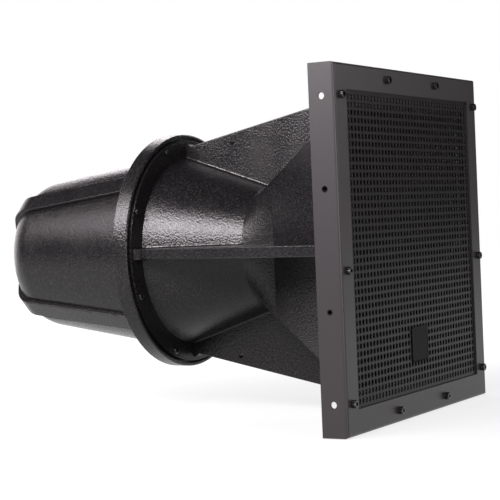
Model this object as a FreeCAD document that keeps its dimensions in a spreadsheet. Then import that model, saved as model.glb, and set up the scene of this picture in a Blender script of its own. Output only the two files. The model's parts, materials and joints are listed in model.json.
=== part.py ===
import FreeCAD, Part
import math
import os
import Sketcher
from FreeCAD import Vector

# Weatherproof horn loudspeaker: a folded steel front frame with a perforated grille, a moulded
# horn that goes from a square mouth to a round throat and opens again to the driver, and a
# moulded rear cover over the driver, its treble unit and the crossover.
# The origin is the centre of the frame's front face. +Y runs to the rear, +Z is up.

os.makedirs("parts", exist_ok=True)
doc = FreeCAD.newDocument("horn_speaker")
sheet = doc.addObject("Spreadsheet::Sheet", "sizes")

DRIVING_SIZES = {
    # front frame
    "frame_side": 380.0,
    "frame_depth": 29.0,
    "frame_sheet": 2.0,
    "frame_face_width": 27.0,
    "frame_edge_round": 3.5,
    "side_hole_dia": 7.0,
    "side_hole_setback": 15.0,
    "outer_hole_margin": 34.0,
    "inner_hole_gap": 124.5,
    "rivet_nut_bore": 5.0,
    "rivet_nut_length": 11.0,
    # front screws
    "front_screw_dia": 5.0,
    "front_head_dia": 8.5,
    "front_head_height": 5.0,
    "front_socket_flats": 4.0,
    "front_screw_length": 14.0,
    "front_screw_gap": 128.0,
    "front_screw_margin": 13.0,
    "side_screw_upper_margin": 33.0,
    "side_screw_middle_drop": 21.0,
    "side_screw_lower_margin": 34.0,
    "screw_play": 0.25,
    # grille and badge
    "grille_sheet": 1.5,
    "grille_play": 2.0,
    "grille_hole": 24.0,
    "grille_pitch": 32.0,
    "badge_width": 42.0,
    "badge_height": 39.0,
    "badge_thick": 1.5,
    "badge_rise": 52.0,
    # horn
    "mouth_gasket": 1.5,
    "mouth_flange": 6.0,
    "mouth_step": 11.0,
    "horn_wall": 5.0,
    "flare_square_half": 75.3,
    "flare_square_setback": 140.0,
    "throat_dia": 144.0,
    "throat_setback": 183.0,
    "rear_flange_setback": 292.0,
    "rear_flange": 8.0,
    "rear_flange_land": 28.0,
    "rib_thick": 12.0,
    "rib_front_margin": 7.0,
    "rib_edge_round": 1.2,
    "rib_root_round": 2.5,
    "rib_hole_dia": 6.5,
    "rib_hole_inset": 11.5,
    "rib_hole_forward": 64.0,
    "insert_wall": 1.1,
    # rear cover
    "cover_screw_dia": 4.0,
    "cover_screw_edge": 6.0,
    "cover_screw_count": 8,
    "cover_gasket": 1.5,
    "cover_land": 12.3,
    "band_gap": 3.0,
    "band_wall": 3.4,
    "band_overlap": 5.5,
    "band_edge_round": 1.2,
    "cover_shoulder": 23.4,
    "cover_wall": 4.0,
    "cover_length": 212.2,
    "cover_side_taper": 0.155,
    "cover_corner_taper": 0.14,
    "cover_dome_radius": 150.0,
    "cover_end_round": 50.0,
    "strip_rise": 4.0,
    "strip_taper": 0.158,
    "strip_width": 24.6,
    "strip_end_round": 34.0,
    "strip_edge_round": 1.2,
    "groove_width": 6.0,
    "groove_depth": 5.0,
    "hub_dia": 60.0,
    "hub_rise": 2.0,
    # bass driver
    "basket_dia": 208.0,
    "basket_flange": 2.5,
    "basket_sheet": 2.0,
    "basket_seat": 11.0,
    "driver_gasket": 1.2,
    "driver_screw_dia": 4.0,
    "driver_screw_count": 8,
    "driver_screw_edge": 4.0,
    "surround_thick": 0.8,
    "surround_roll": 5.4,
    "cone_paper": 0.8,
    "cone_depth": 36.0,
    "coil_bore": 50.8,
    "coil_former": 0.4,
    "coil_wire": 0.8,
    "coil_height": 12.0,
    "gap_clearance": 0.8,
    "spider_depth": 43.5,
    "spider_radius": 63.0,
    "spider_thick": 0.6,
    "spider_wave": 1.2,
    "plate_setback": 56.0,
    "plate_thick": 8.0,
    "plate_dia": 112.0,
    "magnet_dia": 120.0,
    "magnet_thick": 20.0,
    "throat_bore": 26.0,
    # treble driver
    "bell_mouth_dia": 90.0,
    "bell_wall": 2.0,
    "treble_dia": 80.0,
    "treble_plate": 6.0,
    "treble_magnet_thick": 12.0,
    "treble_coil_bore": 35.6,
    "diaphragm_rise": 5.4,
    "treble_cap_depth": 15.0,
    # crossover
    "board_width": 110.0,
    "board_height": 84.0,
    "board_thick": 1.6,
    "board_clearance": 46.0,
    "board_screw_dia": 3.0,
    "post_dia": 9.0,
    "board_head_height": 2.0,
    "part_gap": 5.0,
    "inductor_dia": 30.0,
    "second_inductor_dia": 26.0,
    "inductor_height": 20.0,
    "inductor_bore": 10.0,
    "capacitor_dia": 14.0,
    "capacitor_height": 26.0,
    "resistor_length": 38.0,
    "resistor_width": 8.0,
    "resistor_height": 9.0,
    "terminal_length": 22.0,
    "terminal_width": 12.0,
    "terminal_hole": 4.0,
    "transformer_width": 48.0,
    "transformer_stack": 26.0,
    "transformer_height": 26.0,
    "transformer_leg": 8.0,
    "winding_play": 0.4,
    # cable gland
    "gland_thread": 16.0,
    "gland_cable": 8.0,
    "gland_flats": 22.0,
    "gland_collar": 6.0,
    "gland_neck": 12.0,
    "gland_locknut": 5.0,
    "gland_grip": 9.0,
}

for row, (alias, number) in enumerate(DRIVING_SIZES.items(), start=1):
    sheet.set("A%d" % row, alias.replace("_", " "))
    sheet.set("B%d" % row, str(number))
    sheet.setAlias("B%d" % row, alias)
doc.recompute()


class Length:
    """A size that carries both its number and the expression that gives it."""

    def __init__(self, number, text=None):
        self.number = float(number)
        self.text = text or repr(float(number))

    def _join(self, other, sign, number):
        return Length(number, "(%s %s %s)" % (self.text, sign, other.text))

    def __add__(self, other):
        other = as_length(other)
        return self._join(other, "+", self.number + other.number)

    def __radd__(self, other):
        return as_length(other) + self

    def __sub__(self, other):
        other = as_length(other)
        return self._join(other, "-", self.number - other.number)

    def __rsub__(self, other):
        return as_length(other) - self

    def __mul__(self, other):
        other = as_length(other)
        return self._join(other, "*", self.number * other.number)

    def __rmul__(self, other):
        return self * other

    def __truediv__(self, other):
        other = as_length(other)
        return self._join(other, "/", self.number / other.number)

    def __neg__(self):
        return Length(0) - self


def as_length(value):
    return value if isinstance(value, Length) else Length(value)


class SheetSizes:
    """Reads a cell of the sheet by its alias."""

    def __getattr__(self, alias):
        return Length(float(getattr(sheet, alias)), "sizes." + alias)


S = SheetSizes()


def bind(thing, name, value):
    """Hold a property by an expression on the sheet."""
    value = as_length(value)
    thing.setExpression(name, value.text)


def new_body(label):
    body = doc.addObject("PartDesign::Body", label)
    body.Label = label
    return body


def origin_feature(body, role):
    return next(f for f in body.Origin.OriginFeatures if f.Role == role)


def new_sketch(body, role, setback=None):
    """A sketch on an origin plane. On XZ_Plane, setback moves it to the rear along +Y;
    on the others it moves it along the plane's own normal."""
    sketch = body.newObject("Sketcher::SketchObject", body.Name + "_sketch")
    sketch.AttachmentSupport = [(origin_feature(body, role), "")]
    sketch.MapMode = "FlatFace"
    if setback is not None:
        bind(sketch, "AttachmentOffset.Base.z", -setback if role == "XZ_Plane" else setback)
    return sketch


def constrain(sketch, value, *parts):
    value = as_length(value)
    index = sketch.addConstraint(Sketcher.Constraint(*parts, value.number))
    bind(sketch, "Constraints[%d]" % index, value)


def hold(sketch, geometry, end, x, y):
    constrain(sketch, x, "DistanceX", -1, 1, geometry, end)
    constrain(sketch, y, "DistanceY", -1, 1, geometry, end)


def arc_between(start, end, radius):
    """Arc from start to end. A positive radius bulges to the right of the way, a negative one
    to the left. Gives the arc and whether its own direction runs from start to end."""
    chord = end - start
    left = Vector(-chord.y, chord.x, 0).normalize()
    height = math.sqrt(max(radius ** 2 - (chord.Length / 2) ** 2, 0.0))
    centre = (start + end) / 2 + left * math.copysign(height, radius)
    first, last = (start, end) if radius > 0 else (end, start)
    angle_first = math.atan2(first.y - centre.y, first.x - centre.x)
    angle_last = math.atan2(last.y - centre.y, last.x - centre.x)
    if angle_last < angle_first:
        angle_last += 2 * math.pi
    circle = Part.Circle(centre, Vector(0, 0, 1), abs(radius))
    return Part.ArcOfCircle(circle, angle_first, angle_last), radius > 0


def outline(sketch, corners):
    """A closed outline. A corner is (x, y), or (x, y, radius) where the edge that leaves it is
    an arc."""
    corners = [tuple(as_length(value) for value in corner) for corner in corners]
    spots = [Vector(corner[0].number, corner[1].number, 0) for corner in corners]
    ends = []
    for index, corner in enumerate(corners):
        here = spots[index]
        there = spots[(index + 1) % len(spots)]
        if len(corner) == 3:
            curve, forward = arc_between(here, there, corner[2].number)
        else:
            curve, forward = Part.LineSegment(here, there), True
        geometry = sketch.addGeometry(curve, False)
        ends.append((geometry, (1, 2) if forward else (2, 1)))
    for index, (geometry, (_, last)) in enumerate(ends):
        following, (first, _) = ends[(index + 1) % len(ends)]
        sketch.addConstraint(Sketcher.Constraint("Coincident", geometry, last, following, first))
    for (geometry, (first, _)), corner in zip(ends, corners):
        hold(sketch, geometry, first, corner[0], corner[1])
        if len(corner) == 3:
            radius = corner[2] if corner[2].number > 0 else -corner[2]
            constrain(sketch, radius, "Radius", geometry)


def circles(sketch, places, radius):
    for x, y in places:
        x, y = as_length(x), as_length(y)
        centre = Vector(x.number, y.number, 0)
        circle = Part.Circle(centre, Vector(0, 0, 1), as_length(radius).number)
        geometry = sketch.addGeometry(circle, False)
        hold(sketch, geometry, 3, x, y)
        constrain(sketch, radius, "Radius", geometry)


def rectangle(left, right, bottom, top):
    return [(left, bottom), (right, bottom), (right, top), (left, top)]


def hexagon(x, y, flats):
    """Corners of a hexagon with its flats this far apart."""
    corner = flats / math.sqrt(3)
    return [(x + corner * math.cos(math.radians(60 * k)),
             y + corner * math.sin(math.radians(60 * k))) for k in range(6)]


def feature(body, kind, sketch):
    made = body.newObject("PartDesign::" + kind, "%s_%s" % (body.Name, kind.lower()))
    made.Profile = sketch
    return made


def pad(body, sketch, length, to_rear=True):
    """Pad along +Y from a sketch on XZ_Plane, or along the normal of any other plane."""
    made = feature(body, "Pad", sketch)
    bind(made, "Length", length)
    made.Reversed = to_rear
    return made


def pocket(body, sketch, length, flip=False):
    made = feature(body, "Pocket", sketch)
    bind(made, "Length", length)
    made.Reversed = flip
    return made


def pad_symmetric(body, sketch, length):
    made = feature(body, "Pad", sketch)
    made.SideType = "Symmetric"
    bind(made, "Length", length)
    return made


def pocket_symmetric(body, sketch, length):
    made = feature(body, "Pocket", sketch)
    made.SideType = "Symmetric"
    bind(made, "Length", length)
    return made


def turn(body, corners, kind="Revolution", angle=360):
    """Turn an outline of (radius, setback) corners about the Y axis."""
    sketch = new_sketch(body, "XY_Plane")
    outline(sketch, corners)
    made = feature(body, kind, sketch)
    made.ReferenceAxis = (sketch, ["V_Axis"])
    made.Angle = angle
    made.Midplane = angle < 360
    return made


def ring(inner, outer, front, back):
    return [(inner, front), (outer, front), (outer, back), (inner, back)]


def turned(label, corners):
    body = new_body(label)
    turn(body, corners)
    return body


def around(body, originals, count):
    """Repeat features round the Y axis."""
    pattern = body.newObject("PartDesign::PolarPattern", body.Name + "_round")
    pattern.Originals = originals
    pattern.Axis = (origin_feature(body, "Y_Axis"), [""])
    pattern.Angle = 360
    pattern.Occurrences = int(count)
    body.Tip = pattern
    return pattern


def fillet(body, base, edges, radius):
    made = body.newObject("PartDesign::Fillet", body.Name + "_fillet")
    made.Base = (base, edges)
    bind(made, "Radius", radius)
    body.Tip = made
    return made


def edges_where(base, test):
    """Names of the edges of a feature whose every point passes a test."""
    return ["Edge%d" % number for number, edge in enumerate(base.Shape.Edges, start=1)
            if all(test(point) for point in edge.discretize(5))]


def on_circle(radius, degrees):
    angle = math.radians(degrees)
    return radius * math.cos(angle), radius * math.sin(angle)


# Places along the axis, from the front face to the rear
frame_half = S.frame_side / 2
window_half = frame_half - S.frame_face_width
inside_half = frame_half - S.frame_sheet
grille_front = S.frame_sheet
grille_back = grille_front + S.grille_sheet
mouth_front = grille_back + S.mouth_gasket
mouth_back = mouth_front + S.mouth_flange
flange_front = S.rear_flange_setback
flange_back = flange_front + S.rear_flange
cover_front = flange_back + S.cover_gasket
cover_back = cover_front + S.cover_land

# Radii about the axis, all worked out from the basket that the housing is built round
basket_radius = S.basket_dia / 2
flange_radius = basket_radius + S.rear_flange_land
cover_screw_radius = flange_radius - S.cover_screw_edge
band_inner = flange_radius + S.band_gap
band_outer = band_inner + S.band_wall
cone_rear_radius = basket_radius + S.horn_wall + 1
seat_radius = basket_radius - S.basket_seat
driver_screw_radius = basket_radius - S.driver_screw_edge
throat_radius = S.throat_dia / 2
mouth_half = window_half - S.mouth_step

# The cover's own places
cover_side = band_outer - S.cover_shoulder
dome_top = cover_back + S.cover_length
cover_end = dome_top + S.hub_rise
cover_bore = basket_radius + 2
cover_head = S.cover_screw_dia * 0.65
cover_insert_radius = S.cover_screw_dia / 2 + S.insert_wall
cover_insert_depth = S.cover_land - 4

# The bass driver's places
surround_front = flange_back + S.driver_gasket
basket_front = surround_front + S.surround_thick
cone_neck = basket_front + S.cone_depth
spider_ledge = basket_front + S.spider_depth
motor_front = basket_front + S.plate_setback
magnet_front = motor_front + S.plate_thick
magnet_back = magnet_front + S.magnet_thick
yoke_back = magnet_back + S.plate_thick
lip_radius = seat_radius + 4
roll_outer = seat_radius - 1.5
roll_inner = roll_outer - 2 * S.surround_roll
cone_rim_inner = roll_inner - 4
plate_radius = S.plate_dia / 2
coil_outer = S.coil_bore / 2 + S.coil_former
pole_radius = S.coil_bore / 2 - S.gap_clearance
magnet_bore = coil_outer + 4
throat_bore = S.throat_bore / 2

# The treble unit's places
treble_magnet_front = yoke_back + S.treble_plate
treble_plate_front = treble_magnet_front + S.treble_magnet_thick
treble_plate_back = treble_plate_front + S.treble_plate - 1
board_back = treble_plate_back + S.treble_cap_depth + S.board_clearance
board_front = board_back - S.board_thick
treble_pole = S.treble_coil_bore / 2 - S.gap_clearance
treble_coil_outer = S.treble_coil_bore / 2 + 0.5
treble_cap_inner = S.treble_dia / 2 - 10
treble_screw_radius = S.treble_dia / 2 - 5

# Screw places on the frame's face, given as (across, up)
screw_row = frame_half - S.front_screw_margin
side_screw_heights = [frame_half - S.side_screw_upper_margin, -S.side_screw_middle_drop,
                      -(frame_half - S.side_screw_lower_margin)]
front_screw_places = [(side * S.front_screw_gap / 2, level * screw_row)
                      for level in (1, -1) for side in (-1, 1)]
front_screw_places += [(side * screw_row, height)
                       for side in (-1, 1) for height in side_screw_heights]

outer_hole_height = frame_half - S.outer_hole_margin


def square(half):
    return rectangle(-half, half, -half, half)


# Front frame: one folded sheet with welded corners
def make_front_frame():
    body = new_body("front_frame")
    shell = new_sketch(body, "XZ_Plane")
    outline(shell, square(frame_half))
    blank = pad(body, shell, S.frame_depth)
    doc.recompute()
    near_front = edges_where(blank, lambda point: abs(point.y) < 0.01)
    fillet(body, blank, near_front, S.frame_edge_round)
    inside = new_sketch(body, "XZ_Plane", S.frame_sheet)
    outline(inside, square(inside_half))
    hollow = pocket(body, inside, S.frame_depth)
    doc.recompute()
    bend = edges_where(hollow, lambda point: abs(point.y - S.frame_sheet.number) < 0.01)
    fillet(body, hollow, bend, S.frame_edge_round - S.frame_sheet)
    window = new_sketch(body, "XZ_Plane")
    outline(window, square(window_half))
    pocket(body, window, S.frame_depth)
    screw_holes = new_sketch(body, "XZ_Plane")
    circles(screw_holes, front_screw_places, S.front_screw_dia / 2 + S.screw_play)
    pocket(body, screw_holes, S.frame_depth)
    side_holes = new_sketch(body, "YZ_Plane")
    heights = [side * height for height in (outer_hole_height, S.inner_hole_gap / 2)
               for side in (1, -1)]
    circles(side_holes, [(S.side_hole_setback, height) for height in heights],
            S.side_hole_dia / 2)
    pocket_symmetric(body, side_holes, S.frame_side * 2)
    return body


# Rivet nuts in the inner hole of each pair, drawn up against the inside of the sheet
def make_frame_nuts():
    body = new_body("frame_nuts")
    collar = 1.5
    for side in (-1, 1):
        for height in (S.inner_hole_gap / 2, -S.inner_hole_gap / 2):
            place = [(S.side_hole_setback, height)]
            barrel = new_sketch(body, "YZ_Plane", side * (frame_half - S.rivet_nut_length))
            circles(barrel, place, S.side_hole_dia / 2 - 0.1)
            pad(body, barrel, S.rivet_nut_length, to_rear=side < 0)
            lip = new_sketch(body, "YZ_Plane", side * (inside_half - collar))
            circles(lip, place, S.side_hole_dia / 2 + 1)
            pad(body, lip, collar, to_rear=side < 0)
    bores = new_sketch(body, "YZ_Plane")
    circles(bores, [(S.side_hole_setback, side * S.inner_hole_gap / 2) for side in (-1, 1)],
            S.rivet_nut_bore / 2)
    pocket_symmetric(body, bores, S.frame_side * 2)
    return body


# Ten socket cap screws that clamp frame, grille, gasket and horn
def make_front_screws():
    body = new_body("front_screws")
    heads = new_sketch(body, "XZ_Plane", -S.front_head_height)
    circles(heads, front_screw_places, S.front_head_dia / 2)
    pad(body, heads, S.front_head_height)
    shanks = new_sketch(body, "XZ_Plane")
    circles(shanks, front_screw_places, S.front_screw_dia / 2)
    pad(body, shanks, S.front_screw_length)
    sockets = new_sketch(body, "XZ_Plane", -S.front_head_height)
    for x, y in front_screw_places:
        outline(sockets, hexagon(x, y, S.front_socket_flats))
    pocket(body, sockets, S.front_head_height / 2)
    return body


# Perforated grille: one sheet, with fewer and larger holes than the real mesh
def make_grille():
    body = new_body("grille")
    sheet_sketch = new_sketch(body, "XZ_Plane", grille_front)
    outline(sheet_sketch, square(inside_half - S.grille_play))
    pad(body, sheet_sketch, S.grille_sheet)
    screw_holes = new_sketch(body, "XZ_Plane", grille_front)
    circles(screw_holes, front_screw_places, S.front_screw_dia / 2 + S.screw_play)
    pocket(body, screw_holes, S.grille_sheet)
    count = int((2 * window_half - S.grille_hole).number // S.grille_pitch.number) + 1
    first = -(count - 1) * S.grille_pitch / 2
    corner_hole = new_sketch(body, "XZ_Plane", grille_front)
    circles(corner_hole, [(first, first)], S.grille_hole / 2)
    hole = pocket(body, corner_hole, S.grille_sheet)
    grid = body.newObject("PartDesign::MultiTransform", "grille_grid")
    grid.Originals = [hole]
    steps = []
    for axis in ("X_Axis", "Z_Axis"):
        step = body.newObject("PartDesign::LinearPattern", "grille_" + axis)
        step.Direction = (origin_feature(body, axis), [""])
        bind(step, "Length", (count - 1) * S.grille_pitch)
        step.Occurrences = count
        steps.append(step)
    grid.Transformations = steps
    body.Tip = grid
    return body


# Bare badge plate, held on the lower part of the grille
def make_badge_plate():
    body = new_body("badge_plate")
    sketch = new_sketch(body, "XZ_Plane", grille_front - S.badge_thick)
    middle = S.badge_rise - window_half
    outline(sketch, rectangle(-S.badge_width / 2, S.badge_width / 2,
                              middle - S.badge_height / 2, middle + S.badge_height / 2))
    pad(body, sketch, S.badge_thick)
    return body


# Foam strip between the grille and the horn's mouth flange
def make_mouth_gasket():
    body = new_body("mouth_gasket")
    strip = new_sketch(body, "XZ_Plane", grille_back)
    outline(strip, square(inside_half - S.grille_play - 1))
    outline(strip, square(mouth_half + 1))
    circles(strip, front_screw_places, S.front_screw_dia / 2 + S.screw_play)
    pad(body, strip, S.mouth_gasket)
    return body


def tapered_square(body, kind, front_half, back_half, front, back):
    """Ruled loft from one square to another."""
    mouth = new_sketch(body, "XZ_Plane", front)
    outline(mouth, square(front_half))
    end = new_sketch(body, "XZ_Plane", back)
    outline(end, square(back_half))
    loft = feature(body, kind, mouth)
    loft.Sections = [end]
    loft.Ruled = True
    return loft


def square_to_round(body, kind, half, radius, front, back):
    """Ruled loft from a square at the front to a circle cut in four at the back."""
    mouth = new_sketch(body, "XZ_Plane", front)
    outline(mouth, square(half))
    corner = radius / math.sqrt(2)
    throat = new_sketch(body, "XZ_Plane", back)
    outline(throat, [(-corner, -corner, radius), (corner, -corner, radius),
                     (corner, corner, radius), (-corner, corner, radius)])
    loft = feature(body, kind, mouth)
    loft.Sections = [throat]
    loft.Ruled = True
    return loft


def flare(body, kind, inset):
    """The horn's flare: four flat sides that draw in, then a short stretch that turns round."""
    tapered_square(body, kind, mouth_half - inset, S.flare_square_half - inset, mouth_front,
                   S.flare_square_setback)
    doc.recompute()
    square_to_round(body, kind, S.flare_square_half - inset, throat_radius - inset,
                    S.flare_square_setback, S.throat_setback)
    doc.recompute()


def round_ribs(body, ribs, rib_front, rib_back):
    """Soften the ribs' outer edges and the corners where they stand on the cone."""
    doc.recompute()
    side = (S.rib_thick / 2).number
    front = (mouth_back - 1).number
    fall = (rib_front - rib_back).number / ((flange_front - 6).number - front)
    throat = S.throat_setback.number
    widen = (cone_rear_radius - throat_radius).number / (flange_front.number - throat)

    def on_side(point):
        return min(abs(abs(point.x) - side), abs(abs(point.z) - side)) < 0.01

    def at_root(point):
        cone = throat_radius.number + widen * (point.y - throat)
        return on_side(point) and abs(math.hypot(point.x, point.z) - cone) < 0.05

    def at_edge(point):
        reach = rib_front.number - fall * (point.y - front)
        return on_side(point) and abs(max(abs(point.x), abs(point.z)) - reach) < 0.05

    roots = fillet(body, ribs, edges_where(ribs, at_root), S.rib_root_round)
    doc.recompute()
    fillet(body, roots, edges_where(roots, at_edge), S.rib_edge_round)
    doc.recompute()


# Horn: one moulding with mouth flange, flare, opening cone, rear flange and four ribs
def make_horn_body():
    body = new_body("horn_body")
    flare(body, "AdditiveLoft", 0)
    turn(body, [(0, S.throat_setback), (throat_radius, S.throat_setback),
                (cone_rear_radius, flange_front), (flange_radius, flange_front),
                (flange_radius, flange_back), (0, flange_back)])
    flange = new_sketch(body, "XZ_Plane", mouth_front)
    outline(flange, square(inside_half - S.grille_play - 1))
    pad(body, flange, S.mouth_flange)
    buried = S.horn_wall / 2
    rib_front = frame_half - S.rib_front_margin
    rib_back = flange_radius - 8
    slope = (rib_front - rib_back) / (flange_front - mouth_back)
    rib = new_sketch(body, "YZ_Plane")
    outline(rib, [(mouth_back - 1, mouth_half - buried - 3),
                  (S.flare_square_setback, S.flare_square_half - buried),
                  (S.throat_setback, throat_radius - buried),
                  (flange_front + 1, cone_rear_radius - buried), (flange_front + 1, rib_back + 5),
                  (flange_front - 6, rib_back), (mouth_back - 1, rib_front)])
    hole_setback = flange_front - S.rib_hole_forward
    hole_radius = rib_back + slope * S.rib_hole_forward - S.rib_hole_inset
    circles(rib, [(hole_setback, hole_radius)], S.rib_hole_dia / 2)
    one_rib = pad_symmetric(body, rib, S.rib_thick)
    doc.recompute()
    round_ribs(body, around(body, [one_rib], 4), rib_front, rib_back)
    inner_throat = throat_radius - S.horn_wall
    flare(body, "SubtractiveLoft", S.horn_wall)
    turn(body, [(0, S.throat_setback), (inner_throat, S.throat_setback),
                (cone_rear_radius - S.horn_wall, flange_front), (seat_radius, flange_front + 1),
                (seat_radius, flange_back), (0, flange_back)], kind="Groove")
    screw_holes = new_sketch(body, "XZ_Plane", mouth_front)
    circles(screw_holes, front_screw_places, S.front_screw_dia / 2 + S.insert_wall)
    pocket(body, screw_holes, S.mouth_flange)
    doc.recompute()
    cover_hole = new_sketch(body, "XZ_Plane", flange_front)
    circles(cover_hole, [on_circle(cover_screw_radius, 22.5)],
            S.cover_screw_dia / 2 + S.screw_play)
    cover_hole_cut = pocket(body, cover_hole, S.rear_flange)
    doc.recompute()
    around(body, [cover_hole_cut], S.cover_screw_count.number)
    doc.recompute()
    pilot = new_sketch(body, "XZ_Plane", flange_back - S.rear_flange * 0.75)
    circles(pilot, [(driver_screw_radius, 0)], S.driver_screw_dia / 2 + 0.05)
    pilot_cut = pocket(body, pilot, S.rear_flange)
    doc.recompute()
    around(body, [pilot_cut], S.driver_screw_count.number)
    return body


# Brass inserts in the mouth flange that take the front screws
def make_mouth_inserts():
    body = new_body("mouth_inserts")
    outer = new_sketch(body, "XZ_Plane", mouth_front)
    circles(outer, front_screw_places, S.front_screw_dia / 2 + S.insert_wall)
    pad(body, outer, S.mouth_flange)
    bores = new_sketch(body, "XZ_Plane", mouth_front)
    circles(bores, front_screw_places, S.front_screw_dia / 2 + 0.05)
    pocket(body, bores, S.mouth_flange)
    return body


# Rubber ring between the horn's rear flange and the cover
def make_cover_gasket():
    body = turned("cover_gasket", ring(cover_bore + 1, flange_radius - 1, flange_back,
                                       cover_front))
    doc.recompute()
    hole = new_sketch(body, "XZ_Plane", flange_back)
    circles(hole, [on_circle(cover_screw_radius, 22.5)], S.cover_screw_dia / 2 + S.screw_play)
    cut = pocket(body, hole, S.cover_gasket)
    doc.recompute()
    around(body, [cut], S.cover_screw_count.number)


# Pan head screws that go from the front through the flange into the cover
def make_flange_screws():
    body = new_body("flange_screws")
    place = [on_circle(cover_screw_radius, 22.5)]
    head = new_sketch(body, "XZ_Plane", flange_front - cover_head)
    circles(head, place, S.cover_screw_dia)
    head_pad = pad(body, head, cover_head)
    shank = new_sketch(body, "XZ_Plane", flange_front)
    circles(shank, place, S.cover_screw_dia / 2)
    shank_pad = pad(body, shank, S.rear_flange + S.cover_gasket + cover_insert_depth - 1)
    doc.recompute()
    around(body, [head_pad, shank_pad], S.cover_screw_count.number)


# Brass inserts in the cover that take those screws
def make_cover_inserts():
    body = new_body("cover_inserts")
    place = [on_circle(cover_screw_radius, 22.5)]
    sleeve = new_sketch(body, "XZ_Plane", cover_front)
    circles(sleeve, place, cover_insert_radius)
    circles(sleeve, place, S.cover_screw_dia / 2 + 0.05)
    one = pad(body, sleeve, cover_insert_depth)
    doc.recompute()
    around(body, [one], S.cover_screw_count.number)


def lobed_section(setback, side, corner):
    """Closed wire across the cover: four arcs, each bulging over one side."""
    reach = corner / math.sqrt(2)
    edges = []
    for quarter in range(4):
        angle = math.pi / 2 * quarter
        cosine, sine = round(math.cos(angle)), round(math.sin(angle))
        spots = [Vector(x * cosine - z * sine, setback, x * sine + z * cosine)
                 for x, z in ((reach, -reach), (side, 0), (reach, reach))]
        edges.append(Part.Arc(*spots).toShape())
    return Part.Wire(edges)


def lobes(inset):
    """Four bulging sides that draw in to the rear, a domed end and a soft rim between them."""
    start = cover_back.number
    length = S.cover_length.number + 1
    side = cover_side.number - inset
    side_end = side - S.cover_side_taper.number * length
    corner_end = side - S.cover_corner_taper.number * length
    form = Part.makeLoft([lobed_section(start, side, side),
                          lobed_section(start + length, side_end, corner_end)], True, True)
    middle = dome_top.number - S.cover_dome_radius.number
    ball = Part.makeSphere(S.cover_dome_radius.number - inset, Vector(0, middle, 0))
    form = form.common(ball.fuse(drum(2 * cover_side.number, start - 1, middle)))
    dome = next(face for face in form.Faces if isinstance(face.Surface, Part.Sphere))
    return form.makeFillet(S.cover_end_round.number - inset, dome.Edges)


def strip(half, drop):
    """One strip that runs up one corner, over the dome and down the opposite corner."""
    start = cover_back.number
    length = (S.cover_length + S.strip_rise).number + 1
    near = cover_side.number + S.strip_rise.number - drop
    far = near - S.strip_taper.number * length
    corners = [(-near, start), (near, start), (far, start + length), (-far, start + length)]
    wire = Part.makePolygon([Vector(x, y, -half) for x, y in corners + corners[:1]])
    form = Part.Face(wire).extrude(Vector(0, 0, 2 * half))
    radius = S.cover_dome_radius.number + S.strip_rise.number - drop
    middle = dome_top.number - S.cover_dome_radius.number
    arch = Part.makeCylinder(radius, 2 * half, Vector(0, middle, -half))
    straight = Part.makeBox(4 * near, middle - start + 1, 2 * half,
                            Vector(-2 * near, start - 1, -half))
    form = form.common(arch.fuse(straight))
    rim = [edge for edge in form.Edges
           if abs(edge.Length - 2 * half) < 0.01 and edge.CenterOfMass.y > start + 1]
    return form.makeFillet(S.strip_end_round.number - drop, rim)


def rounded_strip(half, radius):
    form = strip(half, 0)
    edges = [edge for edge in form.Edges
             if max(point.y for point in edge.discretize(5)) > cover_back.number + 1
             and all(abs(abs(point.z) - half) < 0.01 for point in edge.discretize(5))
             and edge.discretize(3)[0].z * edge.discretize(3)[-1].z > 0]
    return form.makeFillet(radius, edges)


def crossed(form):
    """The form once along each diagonal."""
    pair = []
    for angle in (45, -45):
        copy = form.copy()
        copy.rotate(Vector(0, 0, 0), Vector(0, 1, 0), angle)
        pair.append(copy)
    return pair


def grooved(form, inset):
    """Cut the two crossed channels that the strips stand in."""
    half = (S.strip_width / 2 + S.groove_width).number + inset
    width = cover_side.number * 4
    slab = Part.makeBox(width, S.cover_length.number * 2, 2 * half,
                        Vector(-width / 2, cover_back.number - 1, -half))
    channel = slab.cut(strip(half + 5, S.groove_depth.number + inset))
    for cutter in crossed(channel):
        form = form.cut(cutter)
    return form


def drum(radius, front, back, across=0.0, up=0.0):
    return Part.makeCylinder(radius, back - front, Vector(across, front, up), Vector(0, 1, 0))


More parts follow.
